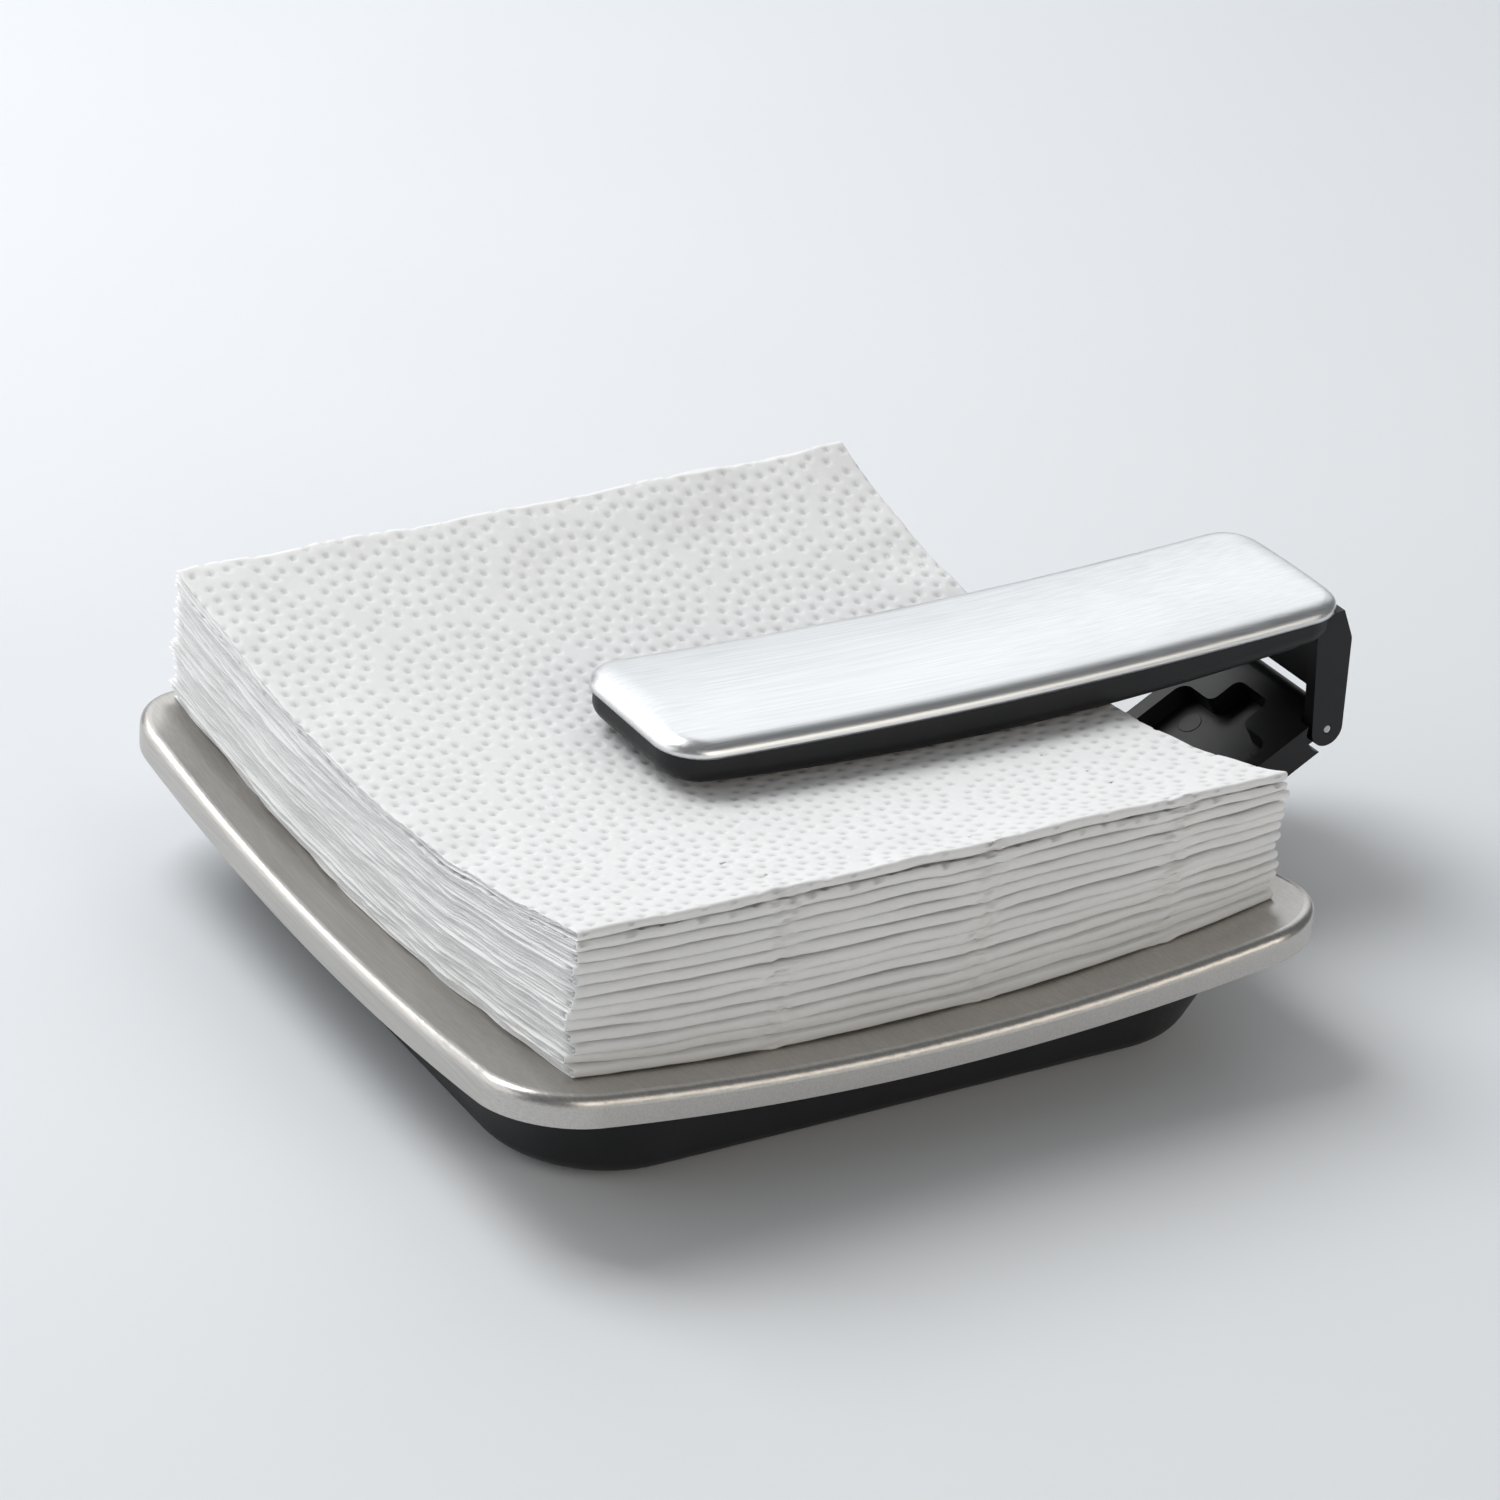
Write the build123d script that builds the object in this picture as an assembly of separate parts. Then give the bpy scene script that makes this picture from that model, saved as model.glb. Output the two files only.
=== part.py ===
"""Tabletop napkin dispenser.

A dished steel tray stands on a weighted plastic base. A bracket runs out behind the tray and
carries a hinge pin, and a weighted arm on that pin holds down a stack of folded napkins.

Millimetres. +Z is up, X runs across, and the arm points towards -Y from the hinge at the back.
Heights are measured from the table. Places along Y are measured from the tray's centre until
the last step, which moves everything so that the origin is on the table under the middle of
the whole object's box.
"""

import math
import os

from build123d import *

# Tray: a pressed sheet with a spherical dish and a turned-down rim
TRAY_WIDTH = 178.0
TRAY_LENGTH = 187.0
TRAY_CORNER_R = 17.0
TRAY_GAUGE = 1.0
DISH_RADIUS = 543.0
DISH_LOW_Z = 19.0
RIM_DEPTH = 6.5
RIM_EDGE_R = 2.0

# Base shell: a flared bowl under the tray
BASE_WIDTH = 148.0
BASE_LENGTH = 157.0
BASE_CORNER_R = 24.0
BASE_LOW_Z = 1.5
BASE_FLARE_DEG = 24.0
BASE_EDGE_R = 6.0
BASE_WALL = 2.5
BASE_FLOOR = 2.5
BASE_TO_TRAY_GAP = 0.2

# Screws that pull the tray down onto the base
TRAY_SCREW_PITCH_X = 88.0
TRAY_SCREW_PITCH_Y = 92.0
TRAY_SCREW_R = 2.0
TRAY_SCREW_HEAD_R = 3.7
TRAY_SCREW_HEAD_DEPTH = 2.2
TRAY_SCREW_RECESS = 0.6
BOSS_R = 5.8
BOSS_TOP_Z = 13.0
STUD_R = 3.5
STUD_HOLE_CEILING = 1.2
THREAD_GAP = 0.05
SCREW_END_GAP = 1.0
TRAY_SCREW_HEAD_EDGE_R = 1.0
TRAY_SCREW_CROSS_DEPTH = 1.4
CROSS_HALF_LENGTH = 1.9
CROSS_HALF_WIDTH = 0.45

# Feet
FOOT_R = 6.4
FOOT_PITCH_X = 104.0
FOOT_PITCH_Y = 114.0
FOOT_RECESS = 1.0
FOOT_SIDE_GAP = 0.1
FOOT_EDGE_R = 0.4
REAR_FOOT_LENGTH = 26.0
REAR_FOOT_WIDTH = 7.0
REAR_FOOT_INSET = 1.6

# Ballast plate, staked to the base floor
BALLAST_WIDTH = 70.0
BALLAST_LENGTH = 76.0
BALLAST_THICKNESS = 4.0
BALLAST_CORNER_R = 5.0
BALLAST_Y = -7.0
STAKE_R = 2.0
STAKE_HEAD_R = 3.4
STAKE_HEAD = 0.8
STAKE_PITCH = 60.0
STAKE_GAP = 0.1

# Hinge bracket: a tab inside the base, a flat run on the table and a ramp up to the pin
BRACKET_HALF_WIDTH = 19.2
BRACKET_THICKNESS = 7.8
RAMP_DEG = 30.0
BRACKET_BEND_R = 10.0
TAB_HALF_WIDTH = 15.0
TAB_THICKNESS = 5.0
TAB_FRONT_Y = 43.0
TAB_SLOT_GAP = 0.3
POCKET_HALF_WIDTH = 15.6
POCKET_DEPTH = 5.0
POCKET_LENGTH = 24.0
POCKET_CORNER_R = 3.0
NOTCH_HALF_WIDTH = 5.6
NOTCH_LENGTH = 8.0
NOTCH_CORNER_R = 2.0
NOTCH_TO_PIN = 4.2
PLUG_R = 2.7
PLUG_DEPTH = 1.2
PLUG_PROUD = 0.15
PLUG_GAP = 0.05
PLUG_EDGE_R = 0.1
PLUG_SPACING = 19.0
PLUG_TO_PIN = 17.2
BRACKET_SCREW_R = 1.9
BRACKET_SCREW_HEAD_R = 3.5
BRACKET_SCREW_HEAD_DEPTH = 1.7
BRACKET_SCREW_SPACING_X = 20.0
BRACKET_SCREW_SPACING_Y = 14.0
BRACKET_SCREW_FRONT = 7.0
BRACKET_SCREW_CROSS_DEPTH = 1.3

# Hinge
PIN_Y = 140.4
PIN_Z = 31.3
PIN_R = 1.0
PIN_END_CHAMFER = 0.2
PIN_PRESS_GAP = 0.01
PIN_RUNNING_GAP = 0.05
BUSH_R = 2.1
BUSH_LENGTH = 8.0
BUSH_SEAT_GAP = 0.01
WASHER_R = 3.4
WASHER_THICKNESS = 0.5
WASHER_SIDE_GAP = 0.05
CHEEK_R = 4.0
CHEEK_THICKNESS = 3.1
CHEEK_SWEEP_GAP = 1.4

# Arm: a plastic shell with a neck down to the pin, a steel weight and a steel cover
ARM_HALF_WIDTH = 20.6
ARM_FRONT_Y = -23.5
ARM_REAR_Y = 140.5
ARM_CORNER_R = 9.0
PARTING_LOW_Y = 28.6
PARTING_LOW_Z = 55.1
PARTING_R = 1360.0
BELLY_LOW_Y = 42.0
BELLY_LOW_Z = 46.8
BELLY_R = 700.0
BELLY_EDGE_R = 3.5
SHELL_INSET = 0.2
SHELL_WALL = 2.2
SHELL_FLOOR = 2.0
SHELL_CAVITY_REAR_Y = 128.0
NECK_LEAN_DEG = 4.5
NECK_WIDTH = 9.3
NECK_SHOULDER_Z = 52.5
NECK_SHOULDER_R = 4.0
WEB_THICKNESS = 2.2
WEB_TO_BARREL = 1.2
COVER_GAUGE = 0.8
COVER_HEIGHT = 3.3
COVER_CROWN = 1.1
COVER_EDGE_R = 2.0
COVER_SEAT_GAP = 0.1
WEIGHT_HALF_WIDTH = 15.5
WEIGHT_FRONT_Y = -14.0
WEIGHT_REAR_Y = 112.0
WEIGHT_FLOOR_GAP = 0.1
WEIGHT_CORNER_R = 3.0
WEIGHT_ABOVE_PARTING = 0.3

# Napkin stack: the arm presses it into a valley. The top napkin pulls out from under the arm
# along an arc about a far-off line across the object, so both its faces turn about that line.
NAPKIN_COUNT = 13
NAPKIN_SIDE = 163.0
NAPKIN_CORNER_R = 4.0
STACK_Y = 1.2
STACK_X = -4.6
STACK_YAW_DEG = 1.3
STACK_FLOOR_GAP = 0.1
NAPKIN_REACH = 0.7
STACK_TO_ARM_GAP = 1.1
NAPKIN_GAP = 0.05
TOP_BEND_X = 230.0
PULL_RADIUS = 1300.0

DISH_CENTRE_Z = DISH_LOW_Z + DISH_RADIUS
TALL = 80.0
BIG = 400.0
OVERLAP = 1.0
NEAR = 0.01
WIDE = 100.0
PAST_END = 5.0
OPEN_TOP = 10.0
SIDES = (-1, 1)


def ball(radius):
    """A ball round the centre of the dish: the tray's faces are parts of such balls."""
    return Pos(0, 0, DISH_CENTRE_Z) * Sphere(radius)


def upright(outline, low_z, high_z):
    return extrude(Pos(0, 0, low_z) * outline, amount=high_z - low_z)


def plan(width, length, corner_r, inset=0.0):
    return RectangleRounded(width - 2 * inset, length - 2 * inset, corner_r - inset)


def across(profile, half_width, centre_x=0.0):
    """A profile drawn in the YZ plane, run across X."""
    return Pos(centre_x, 0, 0) * extrude(Plane.YZ * profile, amount=half_width, both=True)


def pillar(x, y, low_z, high_z, radius):
    return Pos(x, y, (low_z + high_z) / 2) * Cylinder(radius, high_z - low_z)


def block(low, high):
    size = [b - a for a, b in zip(low, high)]
    centre = [(a + b) / 2 for a, b in zip(low, high)]
    return Pos(*centre) * Box(*size)


def on_pin(radius, low_x, high_x):
    """A cylinder on the hinge axis from low_x to high_x."""
    turned = Rot(0, 90, 0) * Cylinder(radius, high_x - low_x)
    return Pos((low_x + high_x) / 2, PIN_Y, PIN_Z) * turned


def corners_of(pitch_x, pitch_y, middle_y=0.0):
    return [(x * pitch_x / 2, middle_y + y * pitch_y / 2) for x in SIDES for y in SIDES]


def dish_z(x, y):
    return DISH_CENTRE_Z - math.sqrt(DISH_RADIUS**2 - x**2 - y**2)


# ---------------------------------------------------------------- tray


def make_tray():
    outer = upright(tray_plan(0), 0, TALL)
    outer = (outer & ball(DISH_RADIUS + RIM_DEPTH)) - ball(DISH_RADIUS)
    outer = fillet(rim_edges(outer), RIM_EDGE_R)
    inner = upright(tray_plan(TRAY_GAUGE), -TALL, TALL)
    inner -= ball(DISH_RADIUS + TRAY_GAUGE)
    inner = fillet(rim_edges(inner), RIM_EDGE_R - TRAY_GAUGE)
    return outer - inner


def tray_plan(inset):
    return plan(TRAY_WIDTH, TRAY_LENGTH, TRAY_CORNER_R, inset)


def rim_edges(solid):
    """The edges round the top of a body whose top is the dish."""
    dish = solid.faces().filter_by(GeomType.SPHERE).sort_by(SortBy.AREA)
    top = [f for f in dish if f.center().Z > DISH_LOW_Z - RIM_DEPTH / 2][-1]
    return top.outer_wire().edges()


def tray_screw_places():
    return corners_of(TRAY_SCREW_PITCH_X, TRAY_SCREW_PITCH_Y)


def stud_hole_top(x, y):
    return dish_z(x, y) - TRAY_GAUGE - STUD_HOLE_CEILING


def make_tray_studs():
    """Threaded bosses welded under the tray."""
    studs = []
    for x, y in tray_screw_places():
        stud = pillar(x, y, BOSS_TOP_Z, TALL, STUD_R) - ball(DISH_RADIUS + TRAY_GAUGE)
        hole_r = TRAY_SCREW_R + THREAD_GAP
        studs.append(stud - pillar(x, y, 0, stud_hole_top(x, y), hole_r))
    return Compound(children=studs)


# ---------------------------------------------------------------- base


def bowl(inset, low_z):
    floor = Pos(0, 0, low_z) * plan(BASE_WIDTH, BASE_LENGTH, BASE_CORNER_R, inset)
    body = extrude(floor, amount=TALL / 2, taper=-BASE_FLARE_DEG)
    return fillet(body.faces().sort_by(Axis.Z)[0].edges(), BASE_EDGE_R - inset)


def make_base_shell():
    floor_z = BASE_LOW_Z + BASE_FLOOR
    shell = bowl(0, BASE_LOW_Z) - bowl(BASE_WALL, floor_z)
    for x, y in tray_screw_places():
        shell += pillar(x, y, floor_z - 1, BOSS_TOP_Z, BOSS_R)
    for x, y in stake_places():
        shell += pillar(x, y, floor_z - 1, ballast_top_z() + STAKE_HEAD, STAKE_R)
        head_low = ballast_top_z() + STAKE_GAP
        shell += pillar(x, y, head_low, head_low + STAKE_HEAD, STAKE_HEAD_R)
    shell -= ball(DISH_RADIUS + TRAY_GAUGE + BASE_TO_TRAY_GAP)
    for x, y in tray_screw_places():
        recess_top = tray_screw_seat_z()
        shell -= pillar(x, y, 0, recess_top, TRAY_SCREW_HEAD_R + 2 * THREAD_GAP)
        shell -= pillar(x, y, 0, TALL, TRAY_SCREW_R + 2 * THREAD_GAP)
    for x, y in foot_places():
        shell -= pillar(x, y, 0, BASE_LOW_Z + FOOT_RECESS, FOOT_R + FOOT_SIDE_GAP)
    slot_half = TAB_HALF_WIDTH + TAB_SLOT_GAP
    slot_top = floor_z + TAB_THICKNESS + TAB_SLOT_GAP
    shell -= block((-slot_half, TAB_FRONT_Y - TAB_SLOT_GAP, floor_z), (slot_half, BIG, slot_top))
    for x, y in bracket_screw_places():
        shell -= bracket_screw_shape(x, y, THREAD_GAP)
    return shell


def tray_screw_seat_z():
    return BASE_LOW_Z + TRAY_SCREW_RECESS + TRAY_SCREW_HEAD_DEPTH


def make_base_screws():
    """Pan-head screws up through the base into the tray's studs."""
    screws = []
    for x, y in tray_screw_places():
        seat = tray_screw_seat_z()
        head = pillar(x, y, seat - TRAY_SCREW_HEAD_DEPTH, seat, TRAY_SCREW_HEAD_R)
        head = fillet(head.faces().sort_by(Axis.Z)[0].edges(), TRAY_SCREW_HEAD_EDGE_R)
        head -= cross_recess(x, y, seat - TRAY_SCREW_HEAD_DEPTH, TRAY_SCREW_CROSS_DEPTH)
        shank_top = stud_hole_top(x, y) - SCREW_END_GAP
        screws.append(head + pillar(x, y, seat, shank_top, TRAY_SCREW_R))
    return Compound(children=screws)


def cross_recess(x, y, low_z, depth):
    """A cross-head driver recess that opens downwards."""
    arm, blade = CROSS_HALF_LENGTH, CROSS_HALF_WIDTH
    low, high = low_z - OVERLAP, low_z + depth
    along = block((x - arm, y - blade, low), (x + arm, y + blade, high))
    return along + block((x - blade, y - arm, low), (x + blade, y + arm, high))


def foot_places():
    return corners_of(FOOT_PITCH_X, FOOT_PITCH_Y)


def make_feet():
    feet = []
    for x, y in foot_places():
        foot = pillar(x, y, 0, BASE_LOW_Z + FOOT_RECESS, FOOT_R)
        feet.append(fillet(foot.faces().sort_by(Axis.Z)[0].edges(), FOOT_EDGE_R))
    return Compound(children=feet)


def ballast_top_z():
    return BASE_LOW_Z + BASE_FLOOR + BALLAST_THICKNESS


def stake_places():
    return corners_of(STAKE_PITCH, STAKE_PITCH, BALLAST_Y)


def make_ballast_plate():
    outline = Pos(0, BALLAST_Y) * plan(BALLAST_WIDTH, BALLAST_LENGTH, BALLAST_CORNER_R)
    plate = upright(outline, BASE_LOW_Z + BASE_FLOOR, ballast_top_z())
    for x, y in stake_places():
        plate -= pillar(x, y, 0, TALL, STAKE_R + STAKE_GAP)
    return plate


# ---------------------------------------------------------------- hinge bracket


def ramp_plane():
    """The ramp's top face: X across, Y up the slope, with the origin over the pin."""
    slope = math.radians(RAMP_DEG)
    normal = Vector(0, -math.sin(slope), math.cos(slope))
    origin = Vector(0, PIN_Y, PIN_Z) + normal * (BRACKET_THICKNESS / 2)
    return Plane(origin=origin, x_dir=(1, 0, 0), z_dir=normal)


def ramp_foot_y(height_over_low):
    """Where a line along the ramp, a half thickness off the pin, is at the given height."""
    slope = math.radians(RAMP_DEG)
    side = -1 if height_over_low == 0 else 1
    off_pin = side * BRACKET_THICKNESS / 2 / math.cos(slope)
    drop = PIN_Z + off_pin - (BASE_LOW_Z + height_over_low)
    return PIN_Y - drop / math.tan(slope)


def bracket_profile():
    """Side view: the flat run, the bend, and the ramp with its round end about the pin."""
    low, high = BASE_LOW_Z, BASE_LOW_Z + BRACKET_THICKNESS
    slope = math.radians(RAMP_DEG)
    half = BRACKET_THICKNESS / 2
    across_slope = Vector(-math.sin(slope), math.cos(slope)) * half
    pin = Vector(PIN_Y, PIN_Z)
    tip = pin + Vector(math.cos(slope), math.sin(slope)) * half
    bottom_end, top_end = pin - across_slope, pin + across_slope
    front = bracket_front_y()
    under = FilletPolyline(
        [(front, low), (ramp_foot_y(0), low), bottom_end],
        radius=BRACKET_BEND_R + BRACKET_THICKNESS,
    )
    over = FilletPolyline(
        [top_end, (ramp_foot_y(BRACKET_THICKNESS), high), (front, high)],
        radius=BRACKET_BEND_R,
    )
    front_end = Line((front, high), (front, low))
    return make_face([under, ThreePointArc(bottom_end, tip, top_end), over, front_end])


def bracket_front_y():
    """The flat run starts just behind the base shell's flared wall."""
    flare = math.tan(math.radians(BASE_FLARE_DEG))
    return BASE_LENGTH / 2 + BRACKET_THICKNESS * flare + TAB_SLOT_GAP


def make_hinge_bracket():
    floor_z = BASE_LOW_Z + BASE_FLOOR
    bracket = across(bracket_profile(), BRACKET_HALF_WIDTH)
    tab_end = bracket_front_y() + OVERLAP
    bracket += block(
        (-TAB_HALF_WIDTH, TAB_FRONT_Y, floor_z),
        (TAB_HALF_WIDTH, tab_end, floor_z + TAB_THICKNESS),
    )
    bracket -= pocket()
    bracket -= barrel_ends()
    bracket -= on_pin(BUSH_R + BUSH_SEAT_GAP, -BIG, BIG)
    for side in SIDES:
        bracket -= plug_shape(side, 0, 0)
    for x, y in bracket_screw_places():
        bracket -= bracket_screw_shape(x, y, THREAD_GAP)
    bracket -= rear_foot_shape(FOOT_SIDE_GAP)
    return bracket


def pocket():
    """The open pocket in the ramp, with a narrower notch towards the barrel."""
    notch_end = -NOTCH_TO_PIN
    step = notch_end - NOTCH_LENGTH
    wide = Pos(0, step - POCKET_LENGTH / 2) * Rectangle(2 * POCKET_HALF_WIDTH, POCKET_LENGTH)
    wide = fillet(wide.vertices(), POCKET_CORNER_R)
    reach = NOTCH_LENGTH + POCKET_CORNER_R
    notch = Pos(0, notch_end - reach / 2) * Rectangle(2 * NOTCH_HALF_WIDTH, reach)
    notch = fillet(notch.vertices().group_by(Axis.Y)[-1], NOTCH_CORNER_R)
    outline = wide + notch
    step_corners = outline.vertices().filter_by_position(Axis.Y, step - NEAR, step + NEAR)
    mouth = step_corners.filter_by_position(Axis.X, -POCKET_HALF_WIDTH / 2, POCKET_HALF_WIDTH / 2)
    outline = fillet(mouth, NOTCH_CORNER_R)
    return extrude(ramp_plane() * Pos(0, 0, -POCKET_DEPTH) * outline, amount=WIDE)


def barrel_ends():
    """Clears the arm's cheeks, and leaves the barrel between them."""
    cut = None
    for side in SIDES:
        low, high = sorted((side * barrel_half(), side * BIG))
        swept = on_pin(CHEEK_R + CHEEK_SWEEP_GAP, low, high)
        cut = swept if cut is None else cut + swept
    return cut


def barrel_half():
    cheek_inside = BRACKET_HALF_WIDTH - CHEEK_THICKNESS
    return cheek_inside - WASHER_THICKNESS - 2 * WASHER_SIDE_GAP


def plug_shape(side, gap, proud):
    """A disc sunk in the pocket's floor: the hole, or with a gap the plug that stands proud."""
    floor = ramp_plane() * Pos(side * PLUG_SPACING / 2, -PLUG_TO_PIN, -POCKET_DEPTH)
    height = proud + PLUG_DEPTH
    return floor * Pos(0, 0, proud - height / 2) * Cylinder(PLUG_R - gap, height)


def make_bracket_plugs():
    plugs = []
    for side in SIDES:
        plug = plug_shape(side, PLUG_GAP, PLUG_PROUD)
        top = plug.faces().sort_by(Axis.Z)[-1]
        plugs.append(fillet(top.edges(), PLUG_EDGE_R))
    return Compound(children=plugs)


def bracket_screw_places():
    middle_y = TAB_FRONT_Y + BRACKET_SCREW_FRONT + BRACKET_SCREW_SPACING_Y / 2
    return corners_of(BRACKET_SCREW_SPACING_X, BRACKET_SCREW_SPACING_Y, middle_y)


def bracket_screw_shape(x, y, gap):
    """A countersunk screw up through the base floor into the bracket's tab."""
    shank_top = BASE_LOW_Z + BASE_FLOOR + TAB_THICKNESS - SCREW_END_GAP + gap
    shank = pillar(x, y, BASE_LOW_Z, shank_top, BRACKET_SCREW_R + gap)
    low_r, high_r = BRACKET_SCREW_HEAD_R + gap, BRACKET_SCREW_R + gap
    head = Cone(low_r, high_r, BRACKET_SCREW_HEAD_DEPTH)
    return shank + Pos(x, y, BASE_LOW_Z + BRACKET_SCREW_HEAD_DEPTH / 2) * head


def make_bracket_screws():
    screws = []
    for x, y in bracket_screw_places():
        recess = cross_recess(x, y, BASE_LOW_Z, BRACKET_SCREW_CROSS_DEPTH)
        screws.append(bracket_screw_shape(x, y, 0) - recess)
    return Compound(children=screws)


def rear_foot_shape(gap):
    middle = bracket_front_y() + REAR_FOOT_INSET + REAR_FOOT_WIDTH / 2
    straight = REAR_FOOT_LENGTH - REAR_FOOT_WIDTH
    outline = Pos(0, middle) * SlotCenterToCenter(straight, REAR_FOOT_WIDTH + 2 * gap)
    return upright(outline, 0, BASE_LOW_Z + FOOT_RECESS)


def make_rear_foot():
    foot = rear_foot_shape(0)
    return fillet(foot.faces().sort_by(Axis.Z)[0].edges(), FOOT_EDGE_R)


def make_hinge_bushes():
    """Plain bushes pressed into each end of the bracket's barrel."""
    bushes = []
    for side in SIDES:
        low, high = sorted((side * (barrel_half() - BUSH_LENGTH), side * barrel_half()))
        bush = on_pin(BUSH_R, low, high) - on_pin(PIN_R + PIN_RUNNING_GAP, -BIG, BIG)
        bushes.append(bush)
    return Compound(children=bushes)


# ---------------------------------------------------------------- arm


def bow(low_y, low_z, radius, y):
    """Height at y of a long arc that is lowest at (low_y, low_z)."""
    return low_z + radius - math.sqrt(radius**2 - (y - low_y) ** 2)


def parting_z(y):
    return bow(PARTING_LOW_Y, PARTING_LOW_Z, PARTING_R, y)


def belly_z(y):
    return bow(BELLY_LOW_Y, BELLY_LOW_Z, BELLY_R, y)


def arc_between(height, start_y, end_y, lift):
    mid_y = (start_y + end_y) / 2
    points = [(y, height(y) + lift) for y in (start_y, mid_y, end_y)]
    return ThreePointArc(*points)


def arm_band(start_y, end_y, low_lift, high, high_lift):
    """Side view of a layer of the arm: over the belly, and under the given upper line."""
    under = arc_between(belly_z, start_y, end_y, low_lift)
    over = arc_between(high, end_y, start_y, high_lift)
    ends = [Line(under @ 1, over @ 0), Line(over @ 1, under @ 0)]
    return make_face([under, ends[0], over, ends[1]])


def arm_plan(inset):
    length = ARM_REAR_Y - ARM_FRONT_Y - 2 * inset
    width = 2 * (ARM_HALF_WIDTH - inset)
    middle = (ARM_REAR_Y + ARM_FRONT_Y) / 2
    return Pos(0, middle) * RectangleRounded(width, length, ARM_CORNER_R - inset)


def neck_profile():
    """Side view of the neck: leaning sides, a round foot on the pin and a round shoulder."""
    lean = math.radians(NECK_LEAN_DEG)
    up = Vector(-math.sin(lean), math.cos(lean))
    side = Vector(math.cos(lean), math.sin(lean))
    pin = Vector(PIN_Y, PIN_Z)
    front_foot, rear_foot = pin - side * CHEEK_R, pin + side * CHEEK_R
    rise = NECK_SHOULDER_Z - PIN_Z
    shoulder = pin + up * rise + side * (NECK_WIDTH / 2)
    top = parting_z(ARM_REAR_Y)
    front_top = (pin + up * (top - PIN_Z)).X - NECK_WIDTH / 2
    outline = Polyline(
        rear_foot,
        shoulder,
        (ARM_REAR_Y - SHELL_INSET, top),
        (front_top, top),
        front_foot,
    )
    foot = ThreePointArc(front_foot, pin - up * CHEEK_R, rear_foot)
    profile = make_face([outline, foot])
    return fillet(profile.vertices().sort_by_distance(shoulder)[0], NECK_SHOULDER_R)


def neck_cavity():
    """The space between the cheeks, in front of the web and round the barrel."""
    lean = math.radians(NECK_LEAN_DEG)
    web_front = NECK_WIDTH / 2 - WEB_THICKNESS
    low_z = PIN_Z + BRACKET_THICKNESS / 2 + WEB_TO_BARREL
    high_z = belly_z(ARM_REAR_Y - NECK_WIDTH)

    def web_y(z):
        return PIN_Y - (z - PIN_Z) * math.tan(lean) + web_front

    outline = Polyline(
        (PIN_Y - NECK_WIDTH * 2, 0),
        (PIN_Y - NECK_WIDTH * 2, high_z),
        (web_y(high_z), high_z),
        (web_y(low_z), low_z),
        (PIN_Y + NECK_WIDTH * 2, low_z),
        (PIN_Y + NECK_WIDTH * 2, 0),
        close=True,
    )
    return across(make_face(outline), BRACKET_HALF_WIDTH - CHEEK_THICKNESS)


def make_arm_shell():
    front, rear = ARM_FRONT_Y - PAST_END, ARM_REAR_Y + PAST_END
    body = across(arm_band(front, rear, 0, parting_z, 0), WIDE)
    body &= upright(arm_plan(SHELL_INSET), 0, TALL)
    body = fillet(body.faces().sort_by(Axis.Z)[0].edges(), BELLY_EDGE_R)
    cavity_profile = arm_band(
        ARM_FRONT_Y, SHELL_CAVITY_REAR_Y, SHELL_FLOOR, parting_z, OPEN_TOP
    )
    cavity = across(cavity_profile, WIDE)
    cavity &= upright(arm_plan(SHELL_INSET + SHELL_WALL), 0, TALL)
    under_cover = arm_band(ARM_FRONT_Y, ARM_REAR_Y + NECK_WIDTH, -TALL / 2, parting_z, 0)
    neck = across(neck_profile() & under_cover, BRACKET_HALF_WIDTH) - neck_cavity()
    shell = (body - cavity) + neck
    return shell - on_pin(PIN_R + PIN_PRESS_GAP, -BIG, BIG)


def cover_volume(inset):
    """The cover's outside, or with inset its inside: crowned across, rolled down at the ends."""
    centre = (PARTING_LOW_Y, PARTING_LOW_Z + PARTING_R)
    front, rear = ARM_FRONT_Y + inset, ARM_REAR_Y - inset
    lift = COVER_SEAT_GAP if not inset else -1.0
    edge_height = COVER_HEIGHT - COVER_CROWN - inset
    half = ARM_HALF_WIDTH - inset
    crown_z = PARTING_LOW_Z + COVER_HEIGHT - inset
    section = make_face(
        [
            Polyline(
                (-half, PARTING_LOW_Z + edge_height),
                (-half, PARTING_LOW_Z + lift),
                (half, PARTING_LOW_Z + lift),
                (half, PARTING_LOW_Z + edge_height),
            ),
            ThreePointArc(
                (half, PARTING_LOW_Z + edge_height),
                (0, crown_z),
                (-half, PARTING_LOW_Z + edge_height),
            ),
        ]
    )
    axis = Axis((0, *centre), (1, 0, 0))
    swing = math.degrees((rear - PARTING_LOW_Y) / PARTING_R) + 1
    section = (Plane((0, PARTING_LOW_Y, 0), x_dir=(1, 0, 0), z_dir=(0, -1, 0)) * section)
    swept = revolve(section.rotate(axis, -swing), axis, 2 * swing)
    swept &= upright(arm_plan(inset), 0, TALL)
    return swept


def make_arm_cover():
    outer = cover_volume(0)
    outer = fillet(crown_edges(outer), COVER_EDGE_R)
    inner = cover_volume(COVER_GAUGE)
    return outer - fillet(crown_edges(inner), COVER_EDGE_R - COVER_GAUGE)


def crown_edges(solid):
    """The edges round the crowned top of the cover."""
    return solid.faces().filter_by(GeomType.TORUS)[0].outer_wire().edges()


def make_arm_weight():
    profile = arm_band(
        WEIGHT_FRONT_Y,
        WEIGHT_REAR_Y,
        SHELL_FLOOR + WEIGHT_FLOOR_GAP,
        parting_z,
        WEIGHT_ABOVE_PARTING,
    )
    weight = across(profile, WEIGHT_HALF_WIDTH)
    return fillet(weight.edges().filter_by(Axis.Z), WEIGHT_CORNER_R)


def make_hinge_pin():
    pin = on_pin(PIN_R, -BRACKET_HALF_WIDTH, BRACKET_HALF_WIDTH)
    return chamfer(pin.edges(), PIN_END_CHAMFER)


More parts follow.
